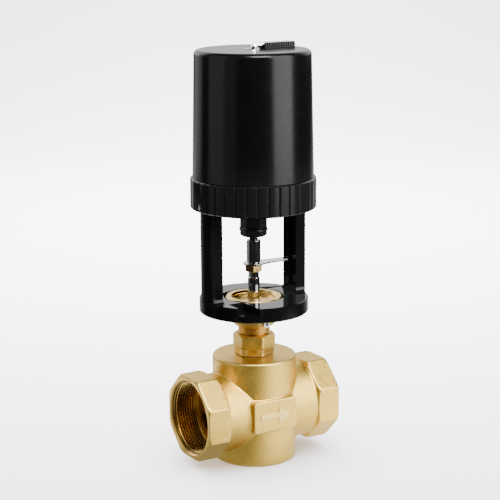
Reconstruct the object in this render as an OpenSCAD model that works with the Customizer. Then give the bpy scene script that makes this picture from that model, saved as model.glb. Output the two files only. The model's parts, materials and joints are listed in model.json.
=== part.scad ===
// Motorised two-way globe valve: a threaded brass body carries a swivelling yoke,
// and a geared lead screw inside the round housing lifts the valve stem.
// Millimetres, +Z up along the stem, pipe along X, origin at the middle of the underside.

/* [Valve body] */
// Pipe axis height above the underside
pipe_height = 42.3; // [41:0.1:44]
// Face-to-face length
body_length = 125; // [122:1:130]
// Radius of the upright barrel
barrel_r = 34.2; // [33.5:0.1:35]
// Height of the upright barrel
barrel_height = 87.3; // [86.5:0.1:88]
// Octagon size across flats at each port
port_flats = 67.2; // [66:0.2:69]
// Radius of the bored port wall
port_bore_r = 29.8; // [29:0.1:30]

/* [Yoke and housing] */
// Radius of the yoke's round base
yoke_base_r = 44.4; // [43.5:0.1:45]
// Half width of each yoke pillar
pillar_half_width = 9.5; // [8.5:0.1:10.5]
// Radius over the ribs of the housing ring
ring_r = 50.8; // [50:0.1:52]
// Number of flat ribs round the housing ring
rib_count = 36; // [24:1:48]
// Angle of the first rib groove
rib_phase = 2.2; // [0:0.1:9.9]
// Radius of the cover at its foot
cover_foot_r = 48.8; // [48.4:0.1:49.5]
// Radius of the cover just under its top edge
cover_top_r = 46.7; // [46.4:0.1:47.5]

/* [Drive] */
// Lift of the spindle from closed to open
stroke = 16; // [8:1:16]
// Tooth size of every gear
gear_module = 0.8; // [0.76:0.02:0.8]
// Teeth on the gear fixed to the lead screw
drive_teeth = 54; // [50:2:54]
// Teeth on the large wheel of the idler
idler_teeth = 36; // [34:2:36]
// Teeth on both pinions
pinion_teeth = 14; // [13:1:14]
// Direction of the idler from the stem axis
idler_angle = 200; // [195:1:205]

/* [Hidden] */
$fn = 96;
eps = 0.02;
// How far a cutting solid runs past the face it opens
cut = 1;

// ---- shared levels and sizes ----
half_length = body_length / 2;
octagon_length = 20;
octagon_bevel = 1.4;
thread_depth = 25.4;
mouth_chamfer = 1.2;
neck_r = 32.4;
neck_inset = 5;
chamber_r = 27;
passage_r = 25;
passage_start = 12;
barrel_foot_edge = 1.6;
barrel_top_edge = 2;
pad_x = [-22, 18];
pad_z = [30.6, 56.6];
pad_corner_r = 2;
pad_height = 2;
pad_root = 24;
arrow_x = [-16, 1, 12];
arrow_z = 43.6;
arrow_half_shaft = 1.8;
arrow_half_head = 6.8;
arrow_height = 0.6;
web_bottom = 36;
web_top = 46;
seat_outer_r = 24;
seat_bore_r = 19;
seat_lip = [0.8, 1.6];
chamber_top = 79;
bonnet_bore_r = 13.5;
cap_r = 28.4;
cap_height = 9;
cap_gap = 1.6;
cap_groove = [5.6, 7.6];
cap_groove_depth = 2.2;
pin_hole_r = 2.6;
pin_hole_x = 17;
pin_hole_depth = 5;

bonnet_foot_top = 93.7;
bonnet_hex_top = 104.9;
bonnet_hex_flats = 30.4;
bonnet_foot_flats = 29;
bonnet_hex_angle = 23.2;
gasket_thickness = 0.8;
gasket_width = 1.1;
neck_top = 130.6;
neck_thread_r = 13;
neck_pitch = 1.5;
neck_thread_depth = 0.8;
stem_r = 5;
stem_fit = 0.08;
packing_r = 8;
packing_bottom = 112;
packing_pitch = 4;
packing_height = 3.6;
packing_rings = 3;
gland_bush_flange_r = 11.6;
gland_bush_flange = 1.6;
bush_slot = [9, 1.2];
bush_slot_angles = [20, 200];

collar_bottom = 112.4;
collar_r = 17.5;
collar_flange_r = 20.5;
collar_flange_bottom = 119;
collar_top = 133.4;
face_gap = 0.1;
collar_edge = 1.6;
collar_screw_height = 115.8;
collar_screw_r = 2;
collar_head_r = 3;
collar_head = [4.4, 7];
socket_flats = 2.6;
socket_depth = 2;
yoke_bottom = 123.9;
yoke_base_top = 135.7;
yoke_web_top = 127.5;
nut_recess_r = 24.3;
nut_r = 23;
nut_top = 136;
nut_fit = 0.05;
nut_slot_angles = [38, 128, 218, 308];
nut_slot_depth = 1.6;
nut_slot_half_width = 2.2;
nut_slot_top = 133.4;
base_edge = 0.8;
spanner_slot_x = [-32.4, -19.2];
spanner_slot_y = -14;
spanner_slot_floor = 129.9;

pillar_outer_r = 45;
pillar_inner_x = 34.8;
pillar_fillet_r = 4;
fillet_length = 14;
fillet_steps = 5;
rail_half_width = 1.5;
rail_start_x = 32.6;
rail_bottom = 140;
flange_bottom = 208.5;
flange_top = 217.5;
flange_r = 45.2;
ring_bottom = 210;
ring_top = 234.2;
floor_bottom = 217.6;
floor_top = 221;
ring_bore_r = 46.2;
spigot_r = 45.4;
spigot_bore_r = 43.6;
spigot_top = 241;
centre_bore_r = 14;
rib_groove = 0.9;
rib_flank = 0.05;
seal_groove = [236.4, 238.4];
seal_groove_depth = 1.2;
ring_screw_height = 213.6;
ring_screw_x = 36;
ring_screw_r = 2;
ring_screw_length = 12;
ring_head_r = 3.1;
ring_head = [9.5, 14.3];
ring_socket_start = 12.6;
counterbore_r = 3.4;
counterbore_x = 40;
bush_flange_r = 17;
bush_flange = 2;
bush_play = 0.3;
cover_top = 335.9;
cover_wall = 2.7;
cover_top_wall = 3.2;
cover_edge = 4;
cover_inner_edge = 3;
key_bush_r = 4.6;
key_bush_bore_r = 2.7;
key_bush_depth = 7;

spindle_flats = 19;
spindle_angle = 26.2;
spindle_bottom = 185.8;
spindle_top = 233;
spigot_pin_r = 3.4;
spigot_pin_bottom = 182;
clip_groove_height = 191.5;
clip_groove_depth = 0.5;
clip_thickness = 1.2;
clip_r = 11.7;
clip_gap_angle = 70;
coupler_span = [163.6, 182.7];
coupler_r = 5.7;
coupler_edge = 0.6;
coupler_bore_top = 174;
stud_r = 4.35;
stud_bottom = 151.5;
stud_top = 173;
stud_fit = 0.01;
pointer_bottom = 162.2;
pointer_thickness = 1.2;
pointer_disc_r = 8.6;
pointer_root = [2, 8.1];
pointer_waist = [14, 5.2];
pointer_tip_half = 4.2;
fork_depth = 5;
fork_half_width = 2;
lock_nut_flats = 13.4;
lock_nut_span = [156.6, 162];
lock_nut_angle = -121.8;
stem_bottom = 38;
stem_tail_r = 4;
stem_step = [46.2, 47];
plug_bottom = 40.6;
plug_seat_level = 46.3;
plug_flange_r = 22.4;
plug_flange_top = 50.6;
plug_top = 55;
plug_top_r = 9;
plug_play = 0.3;
plug_seal_span = [46.1, 48.1];
plug_seal_r = [19.7, 21.6];
plug_nut_flats = 12;
plug_nut_bottom = 36.6;
flag_span = [230.8, 232.8];
flag_disc_r = 13;
flag_arm = [6, 25.6];
flag_half_width = 3.4;
screw_r = 4;
screw_thread_depth = 0.5;
screw_pitch = 2;
screw_thread_top = 252;
screw_top = 268.6;
screw_shoulder_r = 6.4;
screw_shoulder_bottom = 253.8;
spindle_bore_bottom = 194.5;
screw_bottom = spindle_bore_bottom + stroke + 2;

plate_r = 41;
plate_thickness = 2;
lower_plate_bottom = 256;
upper_plate_bottom = 269;
post_angles = [50, 120, 250, 310];
post_distance = 37;
post_r = 2.6;
board_bottom = 306;
board_thickness = 1.6;
board_top = board_bottom + board_thickness;
board_hole_r = 6;
board_cut_y = 34;
terminal_low = [-14, -33];
terminal_high = [14, -23];
terminal_height = 11;
terminal_ways = 5;
terminal_pitch = 5;
terminal_screw_r = 1.7;
wire_entry = [1.6, 1.2, 4.8];
capacitor_at = [26, -6];
capacitor_r = 6;
capacitor_height = 14;
transformer_low = [-28, -10];
transformer_high = [-10, 8];
transformer_levels = [4, 12, 15];
transformer_inset = 2;
relay_x = [-10, 4];
relay_y = [14, 31];
relay_size = [11, 12];
switch_x = [19, 33];
switch_half_width = 3.2;
switch_low_top = 227;
switch_high_bottom = 251;
button_x = 23;
button_r = 1.2;
button_fit = 0.1;
button_hole_depth = 3.6;
button_low_span = [225.2, 230.4];
button_high_span = [249.2, 252.8];

gear_layer_a = [259, 263.5];
gear_layer_b = [264.5, 268];
axle_r = 1.5;
bearing_fit = 0.08;
gear_hub_r = 7;
gear_hub_rise = 0.6;
gear_hole_r = 3.4;
gear_hole_distance = 13;
shaft_r = 3;
shaft_head_r = 4.6;
shaft_head = 8;
shaft_socket = 6.5;
pressure_angle = 25;
backlash = 0.16;
addendum = 0.8 * gear_module;
dedendum = 1.15 * gear_module;
idler_distance = (drive_teeth + pinion_teeth) * gear_module / 2;
motor_reach = (idler_teeth + pinion_teeth) * gear_module / 2;
motor_distance = 25;
motor_offset_angle = acos(
    (pow(idler_distance, 2) + pow(motor_distance, 2) - pow(motor_reach, 2))
    / (2 * idler_distance * motor_distance)
);
motor_angle = idler_angle - motor_offset_angle;
idler_at = polar(idler_distance, idler_angle);
motor_at = polar(motor_distance, motor_angle);
motor_direction = atan2(motor_at[1] - idler_at[1], motor_at[0] - idler_at[0]);
motor_can_r = 15;
motor_bottom = 271.2;
motor_top = 302;
motor_wall = 1;
motor_end_wall = 1.5;
motor_mouth_r = 1.6;
motor_boss_hole_r = 4;
winding_r = 10.6;
winding_inset = 5;
rotor_r = 9.8;
rotor_inset = 4;

gland_height = 227.2;
gland_thread_r = 6;
gland_bore_r = 3.4;
gland_start = 42.6;
gland_pad_y = 53;
gland_pad_half_width = 9.5;
washer_thickness = 0.8;
washer_r = 7.4;
gland_flats = 15;
gland_hex_end = 58.4;
gland_spout_r = 5;
gland_spout = 4;
gland_cap_flats = 14;
gland_cap_hex = 5;
gland_dome_r = [6.6, 4.4];
gland_dome = 2.6;
gland_fit = 0.05;
gland_end = 67;

key_flats = 4;
key_height = 338.55;
key_leg_end = 327.6;
key_bend_r = 4;
key_arm_end = 39;
key_lap = 0.3;
key_clip_x = [9, 37];
key_clip_half_width = 4.6;
key_clip_top = 340.6;
key_channel_half_width = 2.6;
key_channel_floor = 336.3;
clip_rib_width = 1.1;
clip_rib_depth = 0.7;
clip_rib_pitch = 2.2;
clip_rib_count = 12;
clip_rib_start = 1.7;
clip_rib_bottom = 0.8;
shaft_top = 325;
chamfer_land = 0.3;
chamfer_clear = 0.2;
chamfer_angle = 30;
// Steps of one thread turn: share of the pitch, share of the depth
thread_form = [[0.1, 0], [0.42, 1], [0.58, 1], [0.9, 0]];

brass = [0.83, 0.70, 0.42];
bright_brass = [0.85, 0.68, 0.33];
steel = [0.75, 0.76, 0.78];
black = [0.12, 0.12, 0.13];
white = [0.92, 0.91, 0.88];
green = [0.10, 0.35, 0.20];
light_steel = [0.82, 0.83, 0.84];
clip_grey = [0.20, 0.20, 0.22];
bearing_grey = [0.30, 0.29, 0.27];
can_grey = [0.55, 0.56, 0.58];
fibre = [0.55, 0.30, 0.20];
copper = [0.62, 0.36, 0.20];
terminal_green = [0.16, 0.42, 0.26];
capacitor_blue = [0.15, 0.20, 0.45];
transformer_yellow = [0.70, 0.62, 0.25];
relay_white = [0.75, 0.74, 0.70];
button_red = [0.80, 0.20, 0.15];

// ---- helpers ----
function polar(r, a) = [r * cos(a), r * sin(a)];
function flats_to_r(flats, sides) = flats / 2 / cos(180 / sides);
function involute(angle) = tan(angle) * 180 / PI - angle;

// Half the angular width of a tooth at radius rho
function flank_angle(rho, teeth) =
    let (pitch_r = teeth * gear_module / 2, base_r = pitch_r * cos(pressure_angle))
    90 / teeth - backlash / 4 / pitch_r * 180 / PI
    + involute(pressure_angle) - involute(acos(base_r / max(rho, base_r)));

// Outline of a spur gear whose first tooth is centred on the given angle
function gear_outline(teeth, first_angle, flank_steps = 4) =
    let (
        pitch_r = teeth * gear_module / 2,
        base_r = pitch_r * cos(pressure_angle),
        root_r = pitch_r - dedendum,
        tip_r = pitch_r + addendum,
        start_r = max(base_r, root_r) + eps,
        radii = [for (k = [0:flank_steps]) start_r + (tip_r - start_r) * k / flank_steps]
    )
    [for (i = [0:teeth - 1])
        let (middle = first_angle + i * 360 / teeth)
        each concat(
            [polar(root_r, middle - flank_angle(start_r, teeth))],
            [for (rho = radii) polar(rho, middle - flank_angle(rho, teeth))],
            [for (k = [flank_steps:-1:0]) polar(radii[k], middle + flank_angle(radii[k], teeth))],
            [polar(root_r, middle + flank_angle(start_r, teeth))]
        )
    ];

// Half profile of a grooved thread between two heights
function thread_profile(crest_r, depth, z0, z1, pitch) =
    let (turns = floor((z1 - z0) / pitch), root_r = crest_r - depth)
    concat(
        [[0, z0], [root_r, z0]],
        [for (i = [0:turns - 1], p = thread_form) [root_r + p[1] * depth, z0 + (i + p[0]) * pitch]],
        [[root_r, z1], [0, z1]]
    );

// Quarter of a circle as a list of points
function corner_arc(centre, r, first, step = 30) =
    [for (a = [first:step:first + 90]) centre + polar(r, a)];

module rod(r, z0, z1) {
    translate([0, 0, z0]) cylinder(r = r, h = z1 - z0);
}

module tube(outer_r, inner_r, z0, z1) {
    difference() {
        rod(outer_r, z0, z1);
        rod(inner_r, z0 - cut, z1 + cut);
    }
}

module block(low, high) {
    translate(low) cube(high - low);
}

module hex_rod(flats, z0, z1, angle = 0) {
    translate([0, 0, z0])
        rotate(angle)
            cylinder(r = flats_to_r(flats, 6), h = z1 - z0, $fn = 6);
}

// Hexagon with its corners turned off by a cone at either end
module chamfered_hex(flats, z0, z1, angle = 0, bottom = true, top = true) {
    face_r = flats / 2 - chamfer_land;
    clear_r = flats_to_r(flats, 6) + chamfer_clear;
    drop = (clear_r - face_r) * tan(chamfer_angle);
    intersection() {
        hex_rod(flats, z0, z1, angle);
        rotate_extrude() polygon([
            [0, z0],
            [bottom ? face_r : clear_r, z0],
            [clear_r, z0 + drop],
            [clear_r, z1 - drop],
            [top ? face_r : clear_r, z1],
            [0, z1]
        ]);
    }
}

module ring_of(angles, distance) {
    for (a = angles)
        rotate(a) translate([distance, 0, 0]) children();
}

module along_x(x) {
    translate([x, 0, pipe_height]) rotate([0, 90, 0]) children();
}

module along_gland() {
    translate([0, 0, gland_height]) rotate([-90, 0, 0]) children();
}

module at(p) {
    translate([p[0], p[1], 0]) children();
}

// Plate outline with softened corners
module soft_rectangle(x0, x1, y0, y1, r) {
    polygon(concat(
        corner_arc([x1 - r, y1 - r], r, 0),
        corner_arc([x0 + r, y1 - r], r, 90),
        corner_arc([x0 + r, y0 + r], r, 180),
        corner_arc([x1 - r, y0 + r], r, 270)
    ));
}

// ---- valve ----
module port_end(side) {
    corner = flats_to_r(port_flats, 8);
    clear_r = corner + chamfer_clear;
    bevel_height = octagon_bevel + chamfer_clear;
    along_x(side > 0 ? half_length - octagon_length : -half_length)
        intersection() {
            rotate(22.5) cylinder(r = corner, h = octagon_length, $fn = 8);
            rotate_extrude() polygon([
                [0, 0], [corner - octagon_bevel, 0],
                [clear_r, bevel_height], [clear_r, octagon_length - bevel_height],
                [corner - octagon_bevel, octagon_length], [0, octagon_length]
            ]);
        }
}

module barrel() {
    foot = barrel_foot_edge;
    top = barrel_top_edge;
    rotate_extrude() polygon(concat(
        [[0, 0]],
        corner_arc([barrel_r - foot, foot], foot, -90),
        corner_arc([barrel_r - top, barrel_height - top], top, 0),
        [[0, barrel_height]]
    ));
}

// Cast pad on the front of the barrel
module name_pad() {
    translate([0, -pad_root, 0])
        rotate([90, 0, 0])
            linear_extrude(height = barrel_r + pad_height - pad_root)
                soft_rectangle(pad_x[0], pad_x[1], pad_z[0], pad_z[1], pad_corner_r);
}

// Raised flow arrow on the pad, pointing from the inlet to the outlet
module flow_arrow() {
    tail = arrow_x[0];
    neck = arrow_x[1];
    shaft = arrow_half_shaft;
    head = arrow_half_head;
    translate([0, -barrel_r, arrow_z])
        rotate([90, 0, 0])
            linear_extrude(height = pad_height + arrow_height)
                polygon([
                    [tail, -shaft], [neck, -shaft], [neck, -head], [arrow_x[2], 0],
                    [neck, head], [neck, shaft], [tail, shaft]
                ]);
}

module port_cavity(side) {
    x_mouth = side * (half_length + cut);
    x_step = side * (half_length - thread_depth);
    low = side > 0 ? web_top : 0;
    high = side > 0 ? barrel_height : web_bottom;
    along_x(min(x_mouth, x_step)) cylinder(r = port_bore_r, h = abs(x_mouth - x_step));
    along_x(side * (half_length - mouth_chamfer / 2))
        cylinder(
            r1 = port_bore_r + (side > 0 ? 0 : mouth_chamfer) + (side > 0 ? -eps : eps),
            r2 = port_bore_r + (side > 0 ? mouth_chamfer : 0) + (side > 0 ? eps : -eps),
            h = mouth_chamfer + 2 * eps, center = true
        );
    intersection() {
        along_x(min(x_step, side * passage_start))
            cylinder(r = passage_r, h = abs(x_step) - passage_start + eps);
        block([-half_length, -half_length, low], [half_length, half_length, high]);
    }
}

module valve_body() {
    pocket_top = cap_height + cap_gap;
    color(brass)
        difference() {
            union() {
                barrel();
                along_x(-half_length + neck_inset) cylinder(r = neck_r, h = body_length - 2 * neck_inset);
                port_end(-1);
                port_end(1);
                name_pad();
                flow_arrow();
            }
            port_cavity(-1);
            port_cavity(1);
            rod(chamber_r, pocket_top - cut, web_bottom);
            rod(cap_r, -cut, pocket_top);
            rod(seat_outer_r, web_bottom - cut, web_top + cut);
            rod(chamber_r, web_top, chamber_top);
            rod(bonnet_bore_r, chamber_top - cut, barrel_height + cut);
        }
}

module bottom_cap() {
    color(brass)
        difference() {
            rod(cap_r, 0, cap_height);
            for (side = [-1, 1])
                translate([side * pin_hole_x, 0, 0]) rod(pin_hole_r, -cut, pin_hole_depth);
            tube(cap_r + cut, cap_r - cap_groove_depth, cap_groove[0], cap_groove[1]);
        }
}

module bottom_seal() {
    color(black) tube(cap_r, cap_r - cap_groove_depth, cap_groove[0], cap_groove[1]);
}

module seat_ring() {
    color(steel)
        rotate_extrude() polygon([
            [seat_bore_r + seat_lip[1], web_bottom], [seat_outer_r, web_bottom],
            [seat_outer_r, web_top], [seat_bore_r + seat_lip[0], web_top],
            [seat_bore_r, web_top - seat_lip[0]], [seat_bore_r, web_bottom + seat_lip[1]]
        ]);
}

module bonnet() {
    foot_bottom = barrel_height + gasket_thickness;
    color(brass)
        difference() {
            union() {
                rod(bonnet_bore_r, chamber_top - cut, foot_bottom + cut);
                hex_rod(bonnet_foot_flats, foot_bottom, bonnet_foot_top + cut, bonnet_hex_angle);
                chamfered_hex(bonnet_hex_flats, bonnet_foot_top, bonnet_hex_top, bonnet_hex_angle);
                rotate_extrude() polygon(thread_profile(
                    neck_thread_r, neck_thread_depth, bonnet_hex_top - cut, neck_top, neck_pitch
                ));
            }
            rod(stem_r + stem_fit, chamber_top - 2 * cut, neck_top + cut);
            rod(packing_r, packing_bottom, neck_top + cut);
        }
}

module bonnet_gasket() {
    color(fibre)
        tube(bonnet_bore_r + gasket_width, bonnet_bore_r, barrel_height, barrel_height + gasket_thickness);
}

module stem_packing() {
    color(white)
        for (k = [0:packing_rings - 1])
            translate([0, 0, packing_bottom + k * packing_pitch])
                tube(packing_r, stem_r + stem_fit, 0, packing_height);
}

module gland_bush() {
    bush_bottom = packing_bottom + packing_rings * packing_pitch;
    flange_top_level = neck_top + gland_bush_flange;
    color(bright_brass)
        difference() {
            union() {
                rod(packing_r, bush_bottom, flange_top_level);
                rod(gland_bush_flange_r, neck_top, flange_top_level);
            }
            rod(stem_r + stem_fit, bush_bottom - cut, flange_top_level + cut);
            for (a = bush_slot_angles)
                rotate(a)
                    block(
                        [bush_slot[0], -bush_slot[1], flange_top_level - cut],
                        [gland_bush_flange_r + cut, bush_slot[1], flange_top_level + cut]
                    );
        }
}

module mount_collar() {
    bore_r = neck_thread_r + face_gap;
    shelf = yoke_bottom - face_gap;
    lip = collar_edge / 2;
    color(brass)
        difference() {
            rotate_extrude() polygon([
                [bore_r, collar_bottom], [collar_r - collar_edge, collar_bottom],
                [collar_r, collar_bottom + collar_edge], [collar_r, collar_flange_bottom],
                [collar_flange_r, collar_flange_bottom], [collar_flange_r, shelf],
                [collar_r, shelf], [collar_r, collar_top - lip],
                [collar_r - lip, collar_top], [collar_r - 1.5 * lip, collar_top],
                [bore_r, neck_top - lip]
            ]);
            translate([0, 0, collar_screw_height])
                rotate([90, 0, 0]) cylinder(r = collar_screw_r, h = collar_r + cut);
        }
}

module collar_screw() {
    color(steel)
        translate([0, -neck_thread_r - 2 * face_gap, collar_screw_height])
            rotate([90, 0, 0])
                difference() {
                    union() {
                        rod(collar_screw_r, 0, collar_head[0] + cut);
                        rod(collar_head_r, collar_head[0], collar_head[1]);
                    }
                    hex_rod(socket_flats, collar_head[1] - socket_depth, collar_head[1] + cut);
                }
}

module ring_nut() {
    bore_r = collar_r + nut_fit;
    foot = yoke_web_top + face_gap;
    edge = 0.8;
    lead_in = [1.4, 1.8];
    color(bright_brass)
        difference() {
            rotate_extrude() polygon([
                [bore_r, foot], [nut_r, foot], [nut_r, nut_top - edge], [nut_r - edge, nut_top],
                [collar_r + lead_in[0], nut_top], [bore_r, nut_top - lead_in[1]]
            ]);
            for (a = nut_slot_angles)
                rotate(a)
                    block(
                        [nut_r - nut_slot_depth, -nut_slot_half_width, yoke_web_top - cut],
                        [nut_r + cut, nut_slot_half_width, nut_slot_top]
                    );
        }
}

// ---- yoke and housing ----
module foot_fillet() {
    r = pillar_fillet_r;
    overlap = 0.5;
    rotate([90, 0, 90])
        linear_extrude(height = fillet_length)
            polygon(concat(
                [[-overlap, -overlap], [r, -overlap]],
                [for (k = [0:fillet_steps]) [r, r] + polar(r, 270 - k * 90 / fillet_steps)],
                [[-overlap, r]]
            ));
}

module pillar() {
    intersection() {
        block(
            [pillar_inner_x, -pillar_half_width, yoke_base_top - 2 * cut],
            [pillar_outer_r + cut, pillar_half_width, flange_bottom + 2 * cut]
        );
        rod(pillar_outer_r, yoke_base_top - 3 * cut, flange_bottom + 3 * cut);
    }
    intersection() {
        for (side = [0, 1])
            mirror([0, side, 0])
                translate([pillar_inner_x, pillar_half_width, yoke_base_top]) foot_fillet();
        rod(yoke_base_r - base_edge / 2, yoke_base_top - cut, flange_bottom);
    }
}

module yoke() {
    bore_r = collar_r + face_gap;
    recess_edge = 0.5;
    color(black)
        difference() {
            union() {
                rotate_extrude() polygon([
                    [bore_r, yoke_bottom], [yoke_base_r - base_edge, yoke_bottom],
                    [yoke_base_r, yoke_bottom + base_edge], [yoke_base_r, yoke_base_top - base_edge],
                    [yoke_base_r - base_edge, yoke_base_top], [nut_recess_r + recess_edge, yoke_base_top],
                    [nut_recess_r, yoke_base_top - recess_edge], [nut_recess_r, yoke_web_top],
                    [bore_r, yoke_web_top]
                ]);
                pillar();
                mirror([1, 0, 0]) pillar();
                // rail that the forked pointer straddles
                block(
                    [rail_start_x, -rail_half_width, rail_bottom],
                    [pillar_inner_x + cut, rail_half_width, flange_bottom + cut]
                );
                rod(flange_r, flange_bottom, flange_top);
            }
            rod(centre_bore_r, flange_bottom - cut, flange_top + cut);
            // spanner slot that opens on to the ring nut
            block(
                [spanner_slot_x[0], -yoke_base_r - cut, spanner_slot_floor],
                [spanner_slot_x[1], spanner_slot_y, yoke_base_top + cut]
            );
            for (side = [-1, 1])
                translate([side * (ring_screw_x - 4), 0, ring_screw_height])
                    rotate([0, side * 90, 0]) rod(ring_screw_r, 0, flange_r);
        }
}

function rib_outline(r) = [
    for (i = [0:rib_count - 1])
        let (step = 360 / rib_count, a = rib_phase + i * step)
        each [
            polar(r - rib_groove, a),
            polar(r, a + step * rib_flank),
            polar(r, a + step * (1 - rib_flank))
        ]
];

module housing_ring() {
    flange_gap = 0.3;
    color(black)
        difference() {
            union() {
                translate([0, 0, ring_bottom])
                    linear_extrude(height = ring_top - ring_bottom)
                        polygon(rib_outline(ring_r));
                rod(spigot_r, ring_top - 2 * cut, spigot_top);
                // flat pad at the back for the cable gland
                block(
                    [-gland_pad_half_width, ring_bore_r, ring_bottom],
                    [gland_pad_half_width, gland_pad_y, ring_top]
                );
            }
            rod(flange_r + flange_gap, ring_bottom - cut, floor_bottom);
            rod(spigot_bore_r, floor_top, spigot_top + cut);
            tube(spigot_r + cut, spigot_r - seal_groove_depth, seal_groove[0], seal_groove[1]);
            rod(centre_bore_r, floor_bottom - cut, floor_top + cut);
            along_gland() rod(gland_thread_r + gland_fit, spigot_bore_r - 3 * cut, gland_pad_y + cut);
            for (side = [-1, 1])
                translate([side * counterbore_x, 0, ring_screw_height])
                    rotate([0, side * 90, 0]) rod(counterbore_r, 0, ring_bore_r);
        }
}

module ring_screws() {
    color(steel)
        for (side = [-1, 1])
            translate([side * ring_screw_x, 0, ring_screw_height])
                rotate([0, side * 90, 0])
                    difference() {
                        union() {
                            rod(ring_screw_r, 0, ring_screw_length);
                            rod(ring_head_r, ring_head[0], ring_head[1]);
                        }
                        hex_rod(socket_flats, ring_socket_start, ring_head[1] + cut);
                    }
}

module guide_bush() {
    bush_bottom = flange_bottom + face_gap;
    bush_top = floor_top + bush_flange;
    color(bearing_grey)
        difference() {
            union() {
                rod(centre_bore_r, bush_bottom, bush_top);
                rod(bush_flange_r, floor_top, bush_top);
            }
            hex_rod(spindle_flats + bush_play, bush_bottom - cut, bush_top + cut, spindle_angle);
        }
}

module cover_seal() {
    squeeze = 0.2;
    color(black)
        tube(spigot_r + squeeze, spigot_r - seal_groove_depth, seal_groove[0], seal_groove[1]);
}

// ---- frame and electrics inside the housing ----
module lower_spacers() {
    color(steel)
        ring_of(post_angles, post_distance) rod(post_r, floor_top, lower_plate_bottom);
}

module lower_plate() {
    plate_top = lower_plate_bottom + plate_thickness;
    color(steel)
        difference() {
            rod(plate_r, lower_plate_bottom, plate_top);
            rod(screw_r + bearing_fit, lower_plate_bottom - cut, plate_top + cut);
            at(idler_at) rod(axle_r, lower_plate_bottom - cut, plate_top + cut);
        }
}

module upper_spacers() {
    color(steel)
        ring_of(post_angles, post_distance)
            rod(post_r, lower_plate_bottom + plate_thickness, upper_plate_bottom);
}

module upper_plate() {
    plate_top = upper_plate_bottom + plate_thickness;
    color(steel)
        difference() {
            rod(plate_r, upper_plate_bottom, plate_top);
            rod(shaft_r + bearing_fit, upper_plate_bottom - cut, plate_top + cut);
            at(idler_at) rod(axle_r, upper_plate_bottom - cut, plate_top + cut);
            at(motor_at) rod(motor_boss_hole_r, upper_plate_bottom - cut, plate_top + cut);
        }
}

module idler_axle() {
    proud = 0.5;
    color(steel)
        at(idler_at) rod(axle_r, lower_plate_bottom - proud, upper_plate_bottom + plate_thickness + proud);
}

module motor_can() {
    color(can_grey)
        at(motor_at)
            difference() {
                rod(motor_can_r, motor_bottom, motor_top);
                rod(motor_can_r - motor_wall, motor_bottom + motor_end_wall, motor_top - motor_end_wall);
                rod(motor_mouth_r, motor_bottom - cut, motor_bottom + motor_end_wall + cut);
            }
}

module motor_stator() {
    color(copper)
        at(motor_at)
            tube(
                motor_can_r - motor_wall, winding_r,
                motor_bottom + winding_inset, motor_top - winding_inset
            );
}

module board_posts() {
    color(steel)
        ring_of(post_angles, post_distance)
            rod(post_r, upper_plate_bottom + plate_thickness, board_bottom);
}

module circuit_board() {
    color(green)
        difference() {
            rod(plate_r, board_bottom, board_top);
            rod(board_hole_r, board_bottom - cut, board_top + cut);
            block([-plate_r, board_cut_y, board_bottom - cut], [plate_r, plate_r + cut, board_top + cut]);
        }
}

module terminal_block() {
    first_x = (terminal_low[0] + terminal_high[0] - (terminal_ways - 1) * terminal_pitch) / 2;
    middle_y = (terminal_low[1] + terminal_high[1]) / 2;
    color(terminal_green)
        difference() {
            block(
                [terminal_low[0], terminal_low[1], board_top],
                [terminal_high[0], terminal_high[1], board_top + terminal_height]
            );
            for (k = [0:terminal_ways - 1])
                translate([first_x + k * terminal_pitch, 0, board_top]) {
                    translate([0, middle_y, 0])
                        rod(terminal_screw_r, terminal_height / 2, terminal_height + cut);
                    block(
                        [-wire_entry[0], terminal_low[1] - cut, wire_entry[1]],
                        [wire_entry[0], middle_y + cut, wire_entry[2]]
                    );
                }
        }
}

module capacitor() {
    color(capacitor_blue)
        at(capacitor_at) rod(capacitor_r, board_top, board_top + capacitor_height);
}

module transformer() {
    low = transformer_low;
    high = transformer_high;
    inset = transformer_inset;
    levels = transformer_levels;
    color(transformer_yellow)
        translate([0, 0, board_top]) {
            block([low[0], low[1], 0], [high[0], high[1], levels[0]]);
            block(
                [low[0] + inset, low[1] + inset, levels[0] - cut],
                [high[0] - inset, high[1] - inset, levels[1] + cut]
            );
            block([low[0], low[1], levels[1]], [high[0], high[1], levels[2]]);
        }
}

module relays() {
    color(relay_white)
        for (x = relay_x)
            block([x, relay_y[0], board_top], [x + relay_size[0], relay_y[1], board_top + relay_size[1]]);
}

module switch_low() {
    color(black)
        difference() {
            block(
                [switch_x[0], -switch_half_width, floor_top],
                [switch_x[1], switch_half_width, switch_low_top]
            );
            translate([button_x, 0, 0])
                rod(button_r + button_fit, switch_low_top - button_hole_depth, switch_low_top + cut);
        }
}

module switch_high() {
    color(black)
        difference() {
            block(
                [switch_x[0], -switch_half_width, switch_high_bottom],
                [switch_x[1], switch_half_width, lower_plate_bottom]
            );
            translate([button_x, 0, 0])
                rod(
                    button_r + button_fit,
                    switch_high_bottom - cut, switch_high_bottom + button_hole_depth
                );
        }
}

module cable_gland() {
    hex_start = gland_pad_y + washer_thickness;
    spout_end = gland_hex_end + gland_spout;
    color(black)
        along_gland()
            difference() {
                union() {
                    rod(gland_thread_r, gland_start, hex_start + cut);
                    chamfered_hex(gland_flats, hex_start, gland_hex_end);
                    rod(gland_spout_r, gland_hex_end - cut, spout_end);
                }
                rod(gland_bore_r, gland_start - cut, spout_end + cut);
            }
}

module gland_washer() {
    color(black)
        along_gland() tube(washer_r, gland_thread_r, gland_pad_y, gland_pad_y + washer_thickness);
}

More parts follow.
